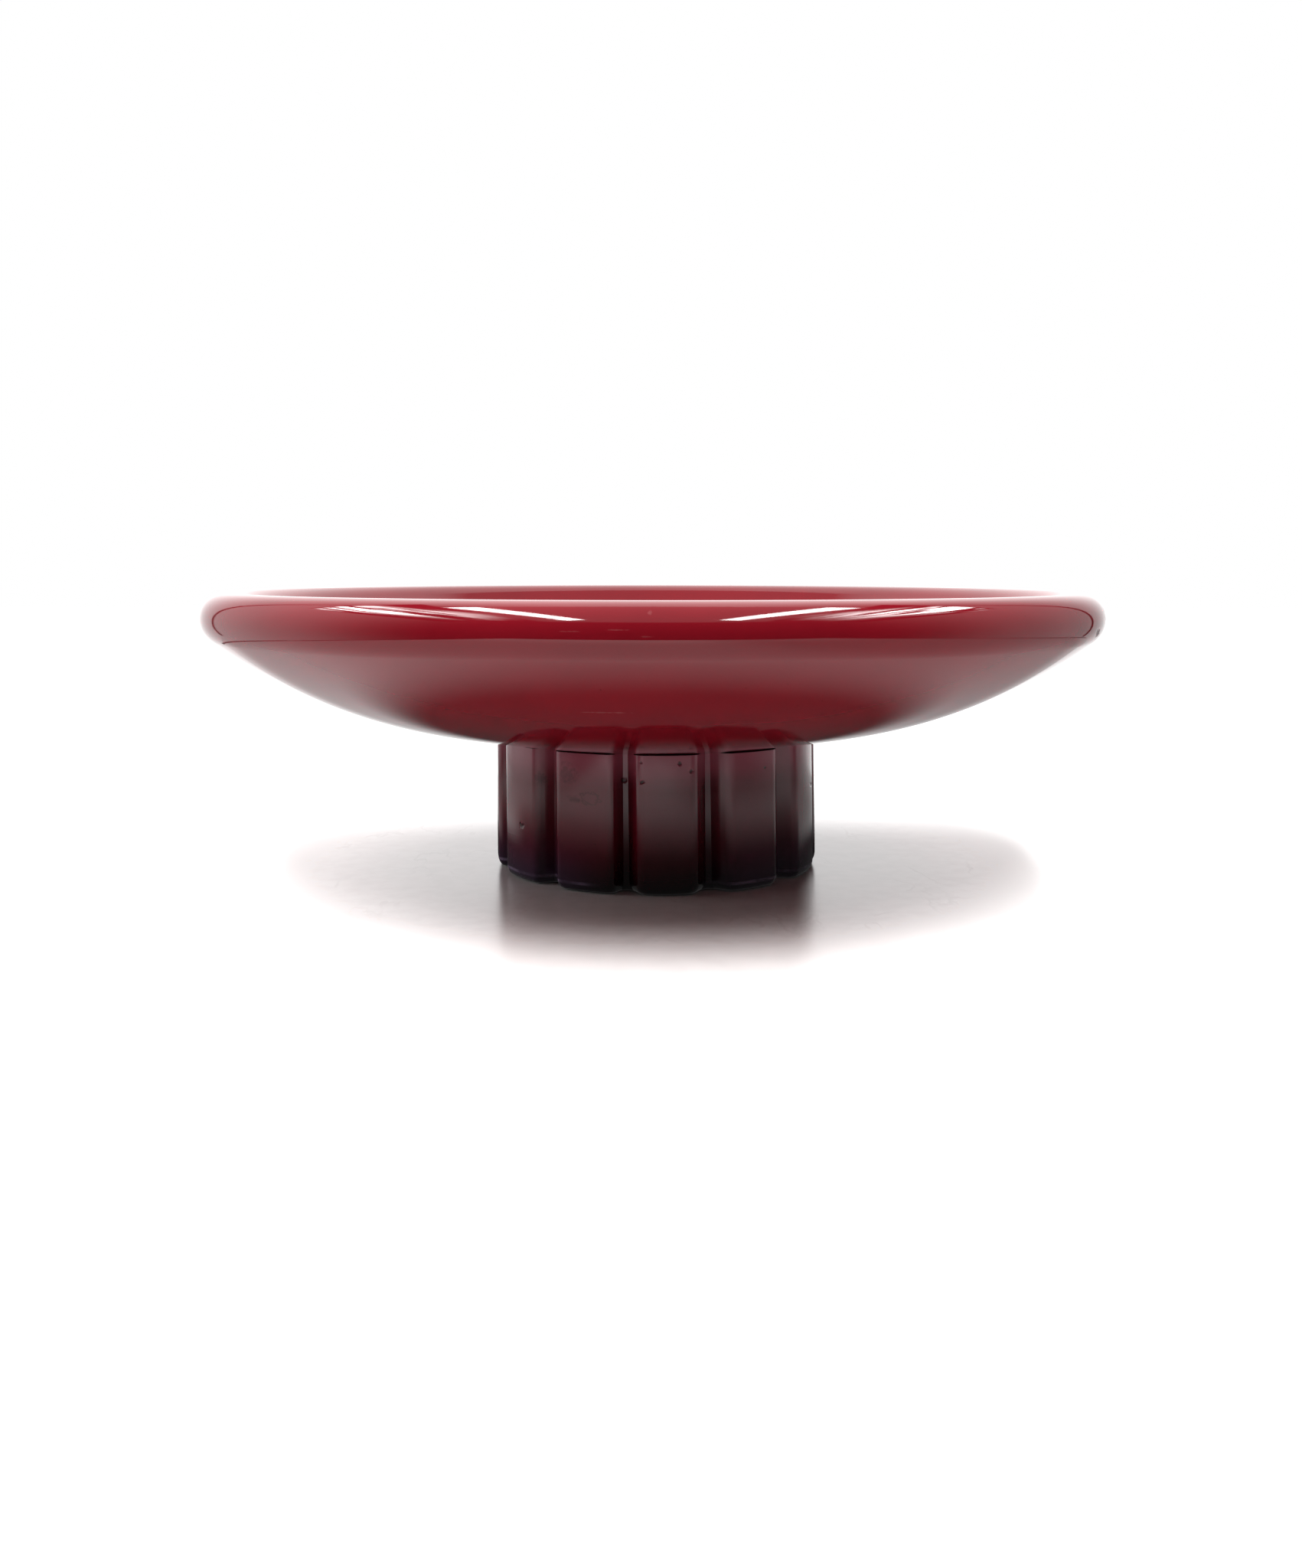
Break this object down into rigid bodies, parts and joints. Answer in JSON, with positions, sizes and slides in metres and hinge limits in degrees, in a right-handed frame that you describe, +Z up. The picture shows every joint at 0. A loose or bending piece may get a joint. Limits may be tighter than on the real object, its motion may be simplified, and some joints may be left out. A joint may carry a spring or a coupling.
{
  "type": "catchall dish",
  "caption": "Round catchall dish with a thick rolled lip on a fluted foot, deep red gloss finish, fastened from below and standing on a felt pad.",
  "frame": {"origin": "on the table under the dish's axis, at the lower face of the felt pad", "axes": "+Z up along the dish's axis; the pictured side faces -Y, with +X to its right"},
  "size_m": [0.3, 0.3, 0.0955],
  "materials": {
    "dish_lacquer": "polished deep red lacquer over cast resin",
    "foot_lacquer": "satin deep red lacquer over cast resin, lightly scuffed",
    "insert_brass": "turned",
    "screw_steel": "zinc plated",
    "washer_steel": "zinc plated, stamped",
    "pad_felt": "pressed felt"
  },
  "bodies": {
    "root": {"dish": "dish_lacquer", "fluted_foot": "foot_lacquer", "threaded_inserts": "insert_brass", "foot_screws": "screw_steel", "screw_washers": "washer_steel", "base_pad": "pad_felt"}
  },
  "joints": []
}
